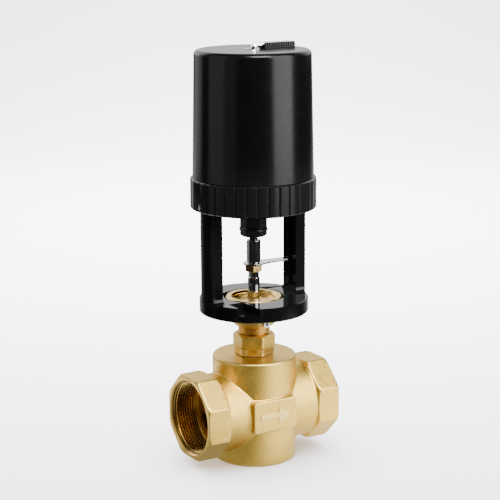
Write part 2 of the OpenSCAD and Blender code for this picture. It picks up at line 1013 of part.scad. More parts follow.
module gland_cap() {
    hex_start = gland_hex_end + 4 * gland_fit;
    hex_end = hex_start + gland_cap_hex;
    color(black)
        along_gland()
            difference() {
                union() {
                    chamfered_hex(gland_cap_flats, hex_start, hex_end);
                    rotate_extrude() polygon([
                        [0, hex_end - cut], [gland_dome_r[0], hex_end - cut],
                        [gland_dome_r[0], gland_end - gland_dome], [gland_dome_r[1], gland_end],
                        [0, gland_end]
                    ]);
                }
                rod(gland_spout_r + gland_fit, hex_start - cut, gland_hex_end + gland_spout + gland_fit);
                rod(gland_bore_r, hex_start, gland_end + cut);
            }
}

// ---- parts that rise and fall with the stem ----
module spindle_hex() {
    color(black)
        difference() {
            union() {
                chamfered_hex(spindle_flats, spindle_bottom, spindle_top, spindle_angle, true, false);
                rod(spigot_pin_r, spigot_pin_bottom, spindle_bottom + cut);
            }
            rod(screw_r + 0.5, spindle_bore_bottom, spindle_top + cut);
            tube(
                flats_to_r(spindle_flats, 6) + cut, spindle_flats / 2 - clip_groove_depth,
                clip_groove_height - clip_thickness / 2, clip_groove_height + clip_thickness / 2
            );
        }
}

module circlip() {
    gap_half = 2;
    color(clip_grey)
        difference() {
            tube(
                clip_r, spindle_flats / 2 - clip_groove_depth,
                clip_groove_height - clip_thickness / 2, clip_groove_height + clip_thickness / 2
            );
            rotate(clip_gap_angle)
                block(
                    [0, -gap_half, clip_groove_height - clip_thickness],
                    [clip_r + cut, gap_half, clip_groove_height + clip_thickness]
                );
        }
}

module coupler() {
    low = coupler_span[0];
    high = coupler_span[1];
    color(steel)
        difference() {
            rotate_extrude() polygon([
                [0, low], [coupler_r - coupler_edge, low], [coupler_r, low + coupler_edge],
                [coupler_r, high - coupler_edge], [coupler_r - coupler_edge, high], [0, high]
            ]);
            rod(stud_r, low - cut, coupler_bore_top);
            rod(spigot_pin_r, spigot_pin_bottom, high + cut);
        }
}

// Forked arm that shows the lift and stops the stem from turning
module pointer() {
    tip_x = pillar_inner_x - 1;
    outline = [pointer_root, pointer_waist, [tip_x, pointer_tip_half]];
    color(light_steel)
        translate([0, 0, pointer_bottom])
            linear_extrude(height = pointer_thickness)
                difference() {
                    union() {
                        circle(r = pointer_disc_r);
                        polygon(concat(
                            [for (p = outline) [p[0], -p[1]]],
                            [for (k = [2:-1:0]) outline[k]]
                        ));
                    }
                    circle(r = stud_r + stud_fit);
                    translate([tip_x - fork_depth, -fork_half_width])
                        square([fork_depth + cut, 2 * fork_half_width]);
                }
}

module lock_nut() {
    color(bright_brass)
        difference() {
            chamfered_hex(lock_nut_flats, lock_nut_span[0], lock_nut_span[1], lock_nut_angle);
            rod(stud_r + stud_fit, lock_nut_span[0] - cut, lock_nut_span[1] + cut);
        }
}

module valve_stem() {
    shoulder = stem_r - stud_r;
    flat_x = 3.4;
    flat_top = 156;
    flat_angle = -160;
    color(steel)
        difference() {
            rotate_extrude() polygon([
                [0, stem_bottom], [stem_tail_r, stem_bottom], [stem_tail_r, stem_step[0]],
                [stem_r, stem_step[1]], [stem_r, stud_bottom - shoulder], [stud_r, stud_bottom],
                [stud_r, stud_top], [0, stud_top]
            ]);
            rotate(flat_angle) block([flat_x, -stem_r, stud_bottom], [stem_r, stem_r, flat_top]);
        }
}

module valve_plug() {
    guide_r = seat_bore_r - plug_play;
    guide_edge = [2.1, 2.4];
    groove_bottom = 45;
    color(steel)
        difference() {
            rotate_extrude() polygon([
                [0, plug_bottom], [guide_r - guide_edge[0], plug_bottom],
                [guide_r, plug_bottom + guide_edge[1]], [guide_r, plug_seat_level],
                [plug_flange_r, plug_seat_level], [plug_flange_r, plug_flange_top],
                [plug_top_r, plug_top], [0, plug_top]
            ]);
            rod(stem_tail_r, plug_bottom - cut, plug_seat_level);
            rod(stem_r, stem_step[0] - 0.1, plug_top + cut);
            tube(plug_seal_r[1], plug_seal_r[0], groove_bottom, plug_seal_span[1]);
        }
}

module plug_seal() {
    color(white) tube(plug_seal_r[1], plug_seal_r[0], plug_seal_span[0], plug_seal_span[1]);
}

module plug_nut() {
    color(steel)
        difference() {
            chamfered_hex(plug_nut_flats, plug_nut_bottom, plug_bottom, 0, true, false);
            rod(stem_tail_r, stem_bottom, plug_bottom + cut);
        }
}

module trip_flag() {
    color(steel)
        difference() {
            union() {
                rod(flag_disc_r, flag_span[0], flag_span[1]);
                block(
                    [flag_arm[0], -flag_half_width, flag_span[0]],
                    [flag_arm[1], flag_half_width, flag_span[1]]
                );
            }
            hex_rod(spindle_flats, flag_span[0] - cut, flag_span[1] + cut, spindle_angle);
        }
}

// ---- gear train ----
module lead_screw() {
    color(steel) {
        rotate_extrude()
            polygon(thread_profile(
                screw_r, screw_thread_depth, screw_bottom, screw_thread_top, screw_pitch
            ));
        rod(screw_r, screw_thread_top - 0.5, screw_top);
        rod(screw_shoulder_r, screw_shoulder_bottom, lower_plate_bottom - 0.2);
    }
}

module spur(teeth, first_angle, layer) {
    translate([0, 0, layer[0]])
        linear_extrude(height = layer[1] - layer[0])
            polygon(gear_outline(teeth, first_angle));
}

module drive_gear() {
    hub_bottom = lower_plate_bottom + plate_thickness + 0.2;
    hub_top = gear_layer_a[1] + gear_hub_rise;
    color(bright_brass)
        difference() {
            union() {
                spur(drive_teeth, idler_angle, gear_layer_a);
                rod(gear_hub_r, hub_bottom, hub_top);
            }
            rod(screw_r, hub_bottom - cut, hub_top + cut);
            for (a = [0:60:300])
                rotate(a)
                    translate([gear_hole_distance, 0, 0])
                        rod(gear_hole_r, gear_layer_a[0] - cut, gear_layer_a[1] + cut);
        }
}

module override_shaft() {
    color(steel)
        difference() {
            union() {
                rod(shaft_r, screw_top, shaft_top - shaft_head);
                rod(shaft_head_r, shaft_top - shaft_head - cut, shaft_top);
            }
            hex_rod(key_flats + 0.3, shaft_top - shaft_socket, shaft_top + cut, 30);
        }
}

module idler_gear() {
    pinion_bottom = gear_layer_a[0] - 0.6;
    first_tooth = idler_angle + 180 + 180 / pinion_teeth;
    color(bright_brass)
        at(idler_at)
            difference() {
                union() {
                    spur(pinion_teeth, first_tooth, [pinion_bottom, gear_layer_b[0] + 0.5]);
                    spur(idler_teeth, motor_direction, gear_layer_b);
                }
                rod(axle_r + bearing_fit, pinion_bottom - cut, gear_layer_b[1] + cut);
            }
}

module motor_rotor() {
    color(steel)
        at(motor_at) {
            rod(axle_r, gear_layer_b[0] - 0.2, motor_top - 2);
            rod(rotor_r, motor_bottom + rotor_inset, motor_top - rotor_inset);
        }
}

module motor_pinion() {
    low = gear_layer_b[0] - 0.2;
    high = gear_layer_b[1] + 0.3;
    color(bright_brass)
        at(motor_at)
            difference() {
                spur(pinion_teeth, motor_direction + 180 + 180 / pinion_teeth, [low, high]);
                rod(axle_r, low - cut, high + cut);
            }
}

// ---- cover and key ----
module cover() {
    foot_level = ring_top + face_gap;
    foot_edge = 0.4;
    inner_foot = cover_foot_r - cover_wall;
    inner_top = cover_top_r - cover_wall;
    ceiling = cover_top - cover_top_wall;
    edge_arc = corner_arc([cover_top_r - cover_edge, cover_top - cover_edge], cover_edge, 0, 15);
    color(black)
        difference() {
            rotate_extrude() polygon(concat(
                [[inner_foot, foot_level], [cover_foot_r - foot_edge, foot_level],
                 [cover_foot_r, foot_level + foot_edge]],
                edge_arc,
                [[0, cover_top], [0, ceiling], [inner_top - cover_inner_edge, ceiling],
                 [inner_top, ceiling - cover_inner_edge]]
            ));
            rod(key_bush_r, ceiling - cut, cover_top + cut);
        }
}

module key_clip() {
    x0 = key_clip_x[0];
    x1 = key_clip_x[1];
    half_rib = clip_rib_width / 2;
    color(black)
        difference() {
            block([x0, -key_clip_half_width, cover_top], [x1, key_clip_half_width, key_clip_top]);
            block(
                [x0 - cut, -key_channel_half_width, key_channel_floor],
                [x1 + cut, key_channel_half_width, key_clip_top + cut]
            );
            for (side = [-1, 1], k = [0:clip_rib_count - 1])
                translate([x0 + clip_rib_start + k * clip_rib_pitch, side * key_clip_half_width, 0])
                    block(
                        [-half_rib, -clip_rib_depth, cover_top + clip_rib_bottom],
                        [half_rib, clip_rib_depth, key_clip_top + cut]
                    );
        }
}

module key_bush() {
    rim_r = 6.4;
    rim_top = cover_top + 0.35;
    mouth_depth = 1.3;
    color(steel)
        difference() {
            union() {
                rod(key_bush_r, cover_top - key_bush_depth, rim_top);
                rod(rim_r, cover_top, rim_top);
            }
            rod(key_bush_bore_r, cover_top - key_bush_depth - cut, rim_top + cut);
            translate([0, 0, rim_top + 0.05 - mouth_depth])
                cylinder(r1 = key_bush_bore_r, r2 = key_bush_r, h = mouth_depth);
        }
}

module hex_key() {
    corner = flats_to_r(key_flats, 6);
    bend_start = key_height - key_bend_r;
    color(light_steel) {
        translate([0, 0, key_leg_end])
            rotate(30) cylinder(r = corner, h = bend_start - key_leg_end + key_lap, $fn = 6);
        translate([key_bend_r, 0, bend_start])
            rotate([90, 0, 0])
                rotate([0, 0, 90])
                    rotate_extrude(angle = 90)
                        translate([key_bend_r, 0]) rotate(30) circle(r = corner - 0.03, $fn = 6);
        translate([key_bend_r - key_lap, 0, key_height])
            rotate([0, 90, 0])
                rotate(30) cylinder(r = corner, h = key_arm_end - key_bend_r + key_lap, $fn = 6);
    }
}

module button_low() {
    color(button_red) translate([button_x, 0, 0]) rod(button_r, button_low_span[0], button_low_span[1]);
}

module button_high() {
    color(button_red) translate([button_x, 0, 0]) rod(button_r, button_high_span[0], button_high_span[1]);
}

valve_body();
bottom_cap();
bottom_seal();
seat_ring();
bonnet();
bonnet_gasket();
stem_packing();
gland_bush();
mount_collar();
collar_screw();
ring_nut();
yoke();
housing_ring();
ring_screws();
guide_bush();
cover_seal();
lower_spacers();
lower_plate();
upper_spacers();
upper_plate();
idler_axle();
motor_can();
motor_stator();
board_posts();
circuit_board();
terminal_block();
capacitor();
transformer();
relays();
switch_low();
switch_high();
cable_gland();
gland_washer();
gland_cap();
spindle_hex();
circlip();
coupler();
pointer();
lock_nut();
valve_stem();
valve_plug();
plug_seal();
plug_nut();
trip_flag();
lead_screw();
drive_gear();
override_shaft();
idler_gear();
motor_rotor();
motor_pinion();
cover();
key_clip();
key_bush();
hex_key();
button_low();
button_high();
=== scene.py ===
import json
import math

import bmesh
import bpy
import numpy as np
from mathutils import Matrix, Vector


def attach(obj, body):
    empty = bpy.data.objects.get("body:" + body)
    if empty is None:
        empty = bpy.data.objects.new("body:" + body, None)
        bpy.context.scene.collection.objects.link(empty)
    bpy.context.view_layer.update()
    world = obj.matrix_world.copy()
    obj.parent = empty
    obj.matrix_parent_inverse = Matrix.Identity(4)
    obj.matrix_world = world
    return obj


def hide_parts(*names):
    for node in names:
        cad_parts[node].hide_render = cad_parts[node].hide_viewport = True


MM = 0.001

# sizes shared by the valve's pieces, in mm
PIPE_Z = 42.3
HALF = 62.5
BODY_TOP = 87.3
BONNET_BORE = 13.5
PORT_ROOT, PORT_CREST, PORT_PITCH = 29.86, 28.4, 2.309
NECK_ROOT, NECK_CREST, NECK_PITCH = 12.2, 13.0, 1.5

# sizes shared by the ribbed ring and the cover, in mm
RING_LOW, RING_TOP, RING_R = 210, 234.2, 50.78
GLAND_Z = 227.2

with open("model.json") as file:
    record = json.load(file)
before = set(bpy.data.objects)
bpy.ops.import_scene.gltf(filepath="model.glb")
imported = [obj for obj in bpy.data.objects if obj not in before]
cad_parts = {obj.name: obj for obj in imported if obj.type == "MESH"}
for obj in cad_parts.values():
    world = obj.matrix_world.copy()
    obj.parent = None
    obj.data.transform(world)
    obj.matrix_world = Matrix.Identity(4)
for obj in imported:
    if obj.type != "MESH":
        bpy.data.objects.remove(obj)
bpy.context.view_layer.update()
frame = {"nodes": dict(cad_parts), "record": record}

record = frame["record"]
BODY_OF = {n: body for body, nodes in record["behaviour"]["bodies"].items() for n in nodes}
SLOT_OF = {s["node"]: s["material_slot"] for s in record["subparts"]}


# ---------------------------------------------------------------- materials
class Finish:
    """A Principled material whose inputs are built from textures in object space."""

    def __init__(self, name, color, metallic, roughness, specular=0.5):
        self.material = bpy.data.materials.new("fin_" + name)
        self.material.use_nodes = True
        self.tree = self.material.node_tree
        self.tree.nodes.clear()
        output = self.node("ShaderNodeOutputMaterial")
        self.bsdf = self.node("ShaderNodeBsdfPrincipled")
        self.tree.links.new(self.bsdf.outputs["BSDF"], output.inputs["Surface"])
        self.bsdf.inputs["Base Color"].default_value = (*color, 1)
        self.bsdf.inputs["Metallic"].default_value = metallic
        self.bsdf.inputs["Roughness"].default_value = roughness
        self.bsdf.inputs["Specular IOR Level"].default_value = specular
        self.color = color
        self.height = None
        self.place = self.node("ShaderNodeTexCoord").outputs["Object"]

    def node(self, kind, **values):
        made = self.tree.nodes.new(kind)
        for key, value in values.items():
            if key in made.inputs:
                made.inputs[key].default_value = value
            else:
                setattr(made, key, value)
        return made

    def stretched(self, scale):
        mapping = self.node("ShaderNodeMapping")
        mapping.inputs["Scale"].default_value = scale
        self.tree.links.new(self.place, mapping.inputs["Vector"])
        return mapping.outputs["Vector"]

    def noise(self, scale, detail=3.0, stretch=None, place=None):
        made = self.node("ShaderNodeTexNoise", Scale=scale, Detail=detail, Roughness=0.55)
        source = place or (self.stretched(stretch) if stretch else self.place)
        self.tree.links.new(source, made.inputs["Vector"])
        return made.outputs["Fac"]

    def radial(self, axis="Z", centre_z=0.0):
        """Distance from the axis and height along it, as a texture place for turned surfaces."""
        moved = self.node("ShaderNodeVectorMath", operation="SUBTRACT")
        self.tree.links.new(self.place, moved.inputs[0])
        moved.inputs[1].default_value = (0, 0, centre_z)
        parts = self.node("ShaderNodeSeparateXYZ")
        self.tree.links.new(moved.outputs[0], parts.inputs[0])
        across = [a for a in "XYZ" if a != axis]
        square = []
        for a in across:
            power = self.node("ShaderNodeMath", operation="MULTIPLY")
            self.tree.links.new(parts.outputs[a], power.inputs[0])
            self.tree.links.new(parts.outputs[a], power.inputs[1])
            square.append(power.outputs[0])
        total = self.node("ShaderNodeMath", operation="ADD")
        self.tree.links.new(square[0], total.inputs[0])
        self.tree.links.new(square[1], total.inputs[1])
        root = self.node("ShaderNodeMath", operation="SQRT")
        self.tree.links.new(total.outputs[0], root.inputs[0])
        self.distance = root.outputs[0]
        joined = self.node("ShaderNodeCombineXYZ")
        self.tree.links.new(root.outputs[0], joined.inputs[0])
        self.tree.links.new(parts.outputs[axis], joined.inputs[1])
        return joined.outputs[0]

    def span(self, factor, low, high, start=0.3, end=0.7):
        made = self.node("ShaderNodeMapRange")
        made.inputs["From Min"].default_value = start
        made.inputs["From Max"].default_value = end
        made.inputs["To Min"].default_value = low
        made.inputs["To Max"].default_value = high
        self.tree.links.new(factor, made.inputs["Value"])
        return made.outputs["Result"]

    def mixed(self, factor, first, second):
        made = self.node("ShaderNodeMix", data_type="RGBA")
        self.tree.links.new(factor, made.inputs["Factor"])
        for value, socket in ((first, made.inputs[6]), (second, made.inputs[7])):
            if isinstance(value, tuple):
                socket.default_value = (*value, 1)
            else:
                self.tree.links.new(value, socket)
        return made.outputs[2]

    def tone(self, factor, other, start=0.35, end=0.65):
        """Blends the current colour towards another by a texture."""
        current = getattr(self, "tint", self.color)
        self.tint = self.mixed(self.span(factor, 0, 1, start, end), current, other)
        self.tree.links.new(self.tint, self.bsdf.inputs["Base Color"])
        return self

    def rough(self, factor, low, high):
        self.tree.links.new(self.span(factor, low, high), self.bsdf.inputs["Roughness"])
        return self

    def bump(self, factor, depth):
        made = self.node("ShaderNodeBump", Strength=1.0, Distance=depth)
        self.tree.links.new(factor, made.inputs["Height"])
        if self.height is not None:
            self.tree.links.new(self.height, made.inputs["Normal"])
        self.height = made.outputs["Normal"]
        self.tree.links.new(self.height, self.bsdf.inputs["Normal"])
        return self

    def worn_edges_and_painted_light(self, color, amount=1.0):
        """Lightens convex edges, where handling polishes them; on a mesh whose flat faces have all their
        points on edges it lightens the whole face, a painted light.
        """
        point = self.node("ShaderNodeNewGeometry").outputs["Pointiness"]
        factor = self.span(point, 0, amount, 0.505, 0.56)
        current = getattr(self, "tint", self.color)
        self.tint = self.mixed(factor, current, color)
        self.tree.links.new(self.tint, self.bsdf.inputs["Base Color"])
        return self


def cast_brass():
    """Sand-cast brass: a fine grain over a slow change of tone, with rubbed corners."""
    f = Finish("cast_brass", (0.87, 0.59, 0.115), 1.0, 0.34)
    grain = f.noise(1150, 3)
    f.tone(f.noise(60, 3), (0.81, 0.535, 0.095))
    f.tone(grain, (0.50, 0.31, 0.055), 0.44, 0.80)
    f.worn_edges_and_painted_light((0.96, 0.74, 0.28), 0.8)
    f.rough(f.noise(220, 4), 0.28, 0.40)
    f.bump(f.noise(90, 3), 0.0002).bump(grain, 0.00025)
    return f


def turned_brass():
    """Machined brass with fine turning rings about the vertical axis."""
    f = Finish("turned_brass", (0.88, 0.60, 0.17), 1.0, 0.32)
    rings = f.noise(3000, 2, place=f.radial())
    f.tone(f.noise(90, 3), (0.80, 0.52, 0.13))
    f.worn_edges_and_painted_light((0.93, 0.66, 0.25), 0.6)
    f.rough(rings, 0.26, 0.38)
    f.bump(rings, 0.00001).bump(f.noise(1200, 2), 0.000006)
    return f


def bored_brass():
    """The body's machined inside, with rings about the pipe's axis."""
    f = Finish("bored_brass", (0.86, 0.57, 0.15), 1.0, 0.30)
    rings = f.noise(2500, 2, place=f.radial("X", PIPE_Z * MM))
    f.tone(f.noise(120, 3), (0.76, 0.48, 0.11))
    f.rough(rings, 0.24, 0.36)
    f.bump(rings, 0.000006)
    return f


def thread_brass_painted_root_shade(name, axis, centre_z, root, crest, dark):
    """Turned brass whose thread roots are painted darker, a painted shade in the thread's recesses."""
    f = Finish(name, (0.88, 0.60, 0.17), 1.0, 0.26)
    f.tone(f.noise(120, 3), (0.80, 0.52, 0.13))
    f.radial(axis, centre_z)
    # painted shade: the colour darkens towards the given dark colour as the radius nears the thread's root
    f.tone(f.distance, dark, (0.4 * root + 0.6 * crest) * MM, (0.9 * root + 0.1 * crest) * MM)
    f.rough(f.noise(400, 3), 0.2, 0.32)
    f.bump(f.noise(900, 2), 0.000006)
    return f


def polished_brass():
    f = Finish("polished_brass", (0.90, 0.64, 0.22), 1.0, 0.26)
    f.tone(f.noise(150, 3), (0.85, 0.57, 0.17))
    f.rough(f.noise(500, 3), 0.21, 0.31)
    f.bump(f.noise(900, 2), 0.000008)
    return f


def gear_brass():
    f = Finish("gear_brass", (0.78, 0.58, 0.26), 1.0, 0.28)
    f.tone(f.noise(200, 3), (0.62, 0.44, 0.18))
    f.rough(f.noise(400, 3), 0.2, 0.4)
    f.bump(f.noise(1400, 2, stretch=(1, 1, 0.1)), 0.00001)
    return f


def metal(name, color, roughness, spread, line=0.15, turned=False):
    """Bare metal with drawn lines along its height, or turning rings."""
    f = Finish(name, color, 1.0, roughness)
    dark = tuple(c * 0.86 for c in color)
    f.tone(f.noise(120, 4), dark)
    place = f.radial() if turned else f.stretched((1, 1, line))
    lines = f.noise(2200, 2, place=place)
    f.rough(lines, roughness - spread, roughness + spread)
    f.bump(lines, 0.000003)
    return f


def coated(name, color, roughness, spread, grain, depth, specular=0.5, edge=None):
    """Paint, plastic or rubber: a grain of the given depth, and edges of another colour if asked."""
    f = Finish(name, color, 0.0, roughness, specular)
    f.tone(f.noise(70, 3), tuple(c * 0.8 for c in color))
    if edge:
        f.worn_edges_and_painted_light(edge, 0.5)
    f.rough(f.noise(grain * 0.3, 3), roughness - spread, roughness + spread)
    f.bump(f.noise(grain, 3), depth)
    return f


def copper_winding():
    f = Finish("copper_winding", (0.62, 0.27, 0.10), 0.85, 0.35)
    wires = f.node("ShaderNodeTexWave", wave_type="BANDS", bands_direction="Z", Scale=400.0)
    wires.inputs["Distortion"].default_value = 1.2
    f.tree.links.new(f.place, wires.inputs["Vector"])
    f.tone(wires.outputs["Fac"], (0.30, 0.11, 0.04), 0.2, 0.8)
    f.rough(f.noise(300, 3), 0.25, 0.45)
    f.bump(wires.outputs["Fac"], 0.0001)
    return f


def board_green():
    f = Finish("board_green", (0.015, 0.14, 0.05), 0.0, 0.3)
    tracks = f.node("ShaderNodeTexBrick", Scale=90.0)
    tracks.inputs["Mortar Size"].default_value = 0.12
    tracks.inputs["Color1"].default_value = (0, 0, 0, 1)
    tracks.inputs["Color2"].default_value = (0.2, 0.2, 0.2, 1)
    tracks.inputs["Mortar"].default_value = (1, 1, 1, 1)
    f.tree.links.new(f.place, tracks.inputs["Vector"])
    f.tone(tracks.outputs["Color"], (0.03, 0.24, 0.09), 0.1, 0.9)
    f.rough(f.noise(300, 3), 0.22, 0.42)
    f.bump(tracks.outputs["Color"], 0.00004)
    return f


BLACK_METAL = (0.004, 0.004, 0.0045)
BLACK_PAINT = (0.003, 0.003, 0.0035)

FINISHES = {
    "cast_brass": cast_brass(),
    "turned_brass": turned_brass(),
    "bored_brass": bored_brass(),
    # each thread finish's last colour is the painted shade in its thread roots
    "port_thread": thread_brass_painted_root_shade(
        "port_thread", "X", PIPE_Z * MM, PORT_ROOT, PORT_CREST, (0.055, 0.038, 0.018)
    ),
    "neck_thread": thread_brass_painted_root_shade("neck_thread", "Z", 0.0, NECK_ROOT, NECK_CREST, (0.56, 0.35, 0.10)),
    "polished_brass": polished_brass(),
    "gear_brass": gear_brass(),
    "chrome_steel": metal("chrome_steel", (0.80, 0.80, 0.81), 0.08, 0.03, turned=True),
    "polished_steel": metal("polished_steel", (0.72, 0.72, 0.73), 0.10, 0.03, turned=True),
    "zinc_steel": metal("zinc_steel", (0.62, 0.63, 0.63), 0.28, 0.08, 0.05),
    "motor_steel": metal("motor_steel", (0.45, 0.46, 0.48), 0.3, 0.08, 0.1),
    "black_oxide": coated(
        "black_oxide", BLACK_METAL, 0.20, 0.05, 1500, 0.000008, 0.5, (0.03, 0.03, 0.033)
    ),
    # partly wear, partly painted light: this edge colour spreads over the yoke's large flat faces and
    # lightens them as if lit
    "black_coat": coated(
        "black_coat", BLACK_PAINT, 0.09, 0.03, 700, 0.000004, 0.26, (0.009, 0.009, 0.01)
    ),
    "black_plastic": coated(
        "black_plastic", BLACK_PAINT, 0.22, 0.03, 900, 0.000004, 0.24, (0.012, 0.012, 0.013)
    ),
    "dark_bearing": coated("dark_bearing", (0.06, 0.055, 0.05), 0.45, 0.06, 1200, 0.00003),
    "seal_rubber": coated("seal_rubber", (0.012, 0.012, 0.012), 0.6, 0.08, 1000, 0.00004, 0.3),
    "fibre_gasket": coated("fibre_gasket", (0.22, 0.09, 0.05), 0.75, 0.08, 900, 0.00008, 0.3),
    "ptfe": coated("ptfe", (0.80, 0.79, 0.75), 0.42, 0.06, 800, 0.00003),
    "copper_winding": copper_winding(),
    "board_green": board_green(),
    "terminal_green": coated("terminal_green", (0.04, 0.22, 0.09), 0.38, 0.06, 1200, 0.00003),
    "capacitor_blue": coated("capacitor_blue", (0.02, 0.04, 0.20), 0.25, 0.06, 500, 0.00003),
    "transformer_core": coated("transformer_core", (0.55, 0.40, 0.06), 0.3, 0.08, 600, 0.00005),
    "relay_plastic": coated("relay_plastic", (0.55, 0.54, 0.50), 0.4, 0.06, 1200, 0.00003),
    "switch_black": coated("switch_black", (0.014, 0.014, 0.015), 0.42, 0.06, 1200, 0.00003),
    "button_red": coated("button_red", (0.45, 0.02, 0.012), 0.3, 0.05, 1200, 0.00002),
}


def finish_of(slot):
    return FINISHES[slot].material


for name, node in frame["nodes"].items():
    node.data.materials.clear()
    node.data.materials.append(finish_of(SLOT_OF[name]))


# ---------------------------------------------------------------- mesh helpers
def new_object(name, mesh, slot):
    """Puts a mesh in the scene, with its finish unless it has one."""
    made = bpy.data.objects.new(name, mesh)
    bpy.context.scene.collection.objects.link(made)
    if not mesh.materials:
        mesh.materials.append(finish_of(slot))
    return made


def smooth(mesh, angle=38):
    """Smooth shading that breaks at edges sharper than the angle in degrees."""
    mesh.polygons.foreach_set("use_smooth", np.ones(len(mesh.polygons), bool))
    mesh.set_sharp_from_angle(angle=math.radians(angle))


def clean(bm, merge=1e-6):
    """Merges points that meet, drops empty faces and turns all faces outwards."""
    bmesh.ops.remove_doubles(bm, verts=bm.verts, dist=merge)
    bmesh.ops.dissolve_degenerate(bm, edges=bm.edges, dist=merge * 0.5)
    bmesh.ops.recalc_face_normals(bm, faces=bm.faces)


def closed_grid(name, points, slot, angle=38):
    """A solid from rings of points, closed both ways round. Points on the axis are merged."""
    n, m = points.shape[:2]
    i, j = np.meshgrid(np.arange(n), np.arange(m), indexing="ij")
    ni, nj = (i + 1) % n, (j + 1) % m
    faces = np.stack([i * m + j, ni * m + j, ni * m + nj, i * m + nj], -1).reshape(-1, 4)
    mesh = bpy.data.meshes.new(name)
    mesh.from_pydata((points.reshape(-1, 3) * MM).tolist(), [], faces.tolist())
    bm = bmesh.new()
    bm.from_mesh(mesh)
    clean(bm)
    bm.to_mesh(mesh)
    bm.free()
    smooth(mesh, angle)
    return new_object(name, mesh, slot)


def turned(
    name, profile, slot, steps=128, axis="Z", shape=None, angles=None, centre=(0, 0, 0), angle=38
):
    """A turned solid from (radius, height) pairs; shape(angle, r, h) may bend the radius."""
    r, h = np.array(profile, float).T
    t = np.radians(angles) if angles is not None else np.linspace(0, 2 * np.pi, steps, endpoint=False)
    tt = np.repeat(t[:, None], len(r), 1)
    rr = np.repeat(r[None, :], len(t), 0)
    hh = np.repeat(h[None, :], len(t), 0)
    if shape is not None:
        rr = shape(tt, rr, hh)
    u, v = rr * np.cos(tt), rr * np.sin(tt)
    if axis == "Z":
        points = np.stack([u, v, hh], -1)
    elif axis == "X":
        points = np.stack([hh, u, v], -1)
    else:
        points = np.stack([v, hh, u], -1)
    return closed_grid(name, points + np.array(centre, float), slot, angle)


def arc(cx, cy, radius, start, end, steps):
    """Points of an arc as (x, y) pairs."""
    return [
        (cx + radius * math.cos(math.radians(a)), cy + radius * math.sin(math.radians(a)))
        for a in np.linspace(start, end, steps)
    ]


def prism(name, outline, low, high, slot, axis="Z", at=(0, 0, 0)):
    """A straight solid from an outline of (u, v) pairs, along X, Y or Z."""
    n = len(outline)
    rows = []
    for level in (low, high):
        for u, v in outline:
            p = {"Z": (u, v, level), "Y": (u, level, v), "X": (level, u, v)}[axis]
            rows.append(tuple((a + b) * MM for a, b in zip(p, at)))
    faces = [tuple(range(n)), tuple(range(2 * n - 1, n - 1, -1))]
    faces += [(k, (k + 1) % n, n + (k + 1) % n, n + k) for k in range(n)]
    mesh = bpy.data.meshes.new(name)
    mesh.from_pydata(rows, [], faces)
    bm = bmesh.new()
    bm.from_mesh(mesh)
    clean(bm)
    bm.to_mesh(mesh)
    bm.free()
    return new_object(name, mesh, slot)


def apply(obj):
    """Replaces an object's mesh by what its modifiers make of it."""
    graph = bpy.context.evaluated_depsgraph_get()
    made = bpy.data.meshes.new_from_object(obj.evaluated_get(graph))
    obj.modifiers.clear()
    obj.data = made
    return obj


def rounded(obj, width, segments=2, angle=30):
    """Bevels the edges that are sharper than the angle, and evens the shading."""
    bevel = obj.modifiers.new("bevel", "BEVEL")
    bevel.width = width * MM
    bevel.segments = segments
    bevel.limit_method = "ANGLE"
    bevel.angle_limit = math.radians(angle)
    bevel.use_clamp_overlap = True
    bevel.miter_outer = "MITER_ARC"
    apply(obj)
    smooth(obj.data, 50)
    even = obj.modifiers.new("even", "WEIGHTED_NORMAL")
    even.keep_sharp = True
    even.weight = 60
    return apply(obj)


def combine(obj, others, operation):
    """Adds or cuts other solids, which are then removed."""
    for other in others:
        change = obj.modifiers.new("change", "BOOLEAN")
        change.operation = operation
        change.object = other
        change.solver = "MANIFOLD"
        change.material_mode = "TRANSFER"
        apply(obj)
    for other in others:
        bpy.data.objects.remove(other)
    return obj


def standing_for(piece, *nodes, body=None, slot=None):
    """The piece moves with its nodes' body and is shown instead of them."""
    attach(piece, body or BODY_OF[nodes[0]])
    if nodes:
        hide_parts(*nodes)
    return piece


def copied(node):
    """A clean copy of a CAD node's mesh, with its flat faces in one piece each."""
    mesh = frame["nodes"][node].data.copy()
    mesh.materials.clear()
    bm = bmesh.new()
    bm.from_mesh(mesh)
    bmesh.ops.remove_doubles(bm, verts=bm.verts, dist=1e-6)
    bmesh.ops.dissolve_limit(bm, angle_limit=math.radians(0.4), verts=bm.verts, edges=bm.edges)
    bm.to_mesh(mesh)
    bm.free()
    if "custom_normal" in mesh.attributes:
        mesh.attributes.remove(mesh.attributes["custom_normal"])
    return new_object(node + "_piece", mesh, SLOT_OF[node])


def dressed(node, width, segments=2, angle=22):
    """A copy of a CAD node with small rounded edges."""
    return standing_for(rounded(copied(node), width, segments, angle), node)


# ---------------------------------------------------------------- valve body
END_FLAT = 33.6


def octagon(tt, rr, hh):
    """Turns the outer radius into an octagon with flats up, down and to the sides."""
    sector = np.mod(tt, np.pi / 4)
    sector = np.abs(np.where(sector > np.pi / 8, sector - np.pi / 4, sector))
    return np.minimum(rr, END_FLAT / np.cos(sector))


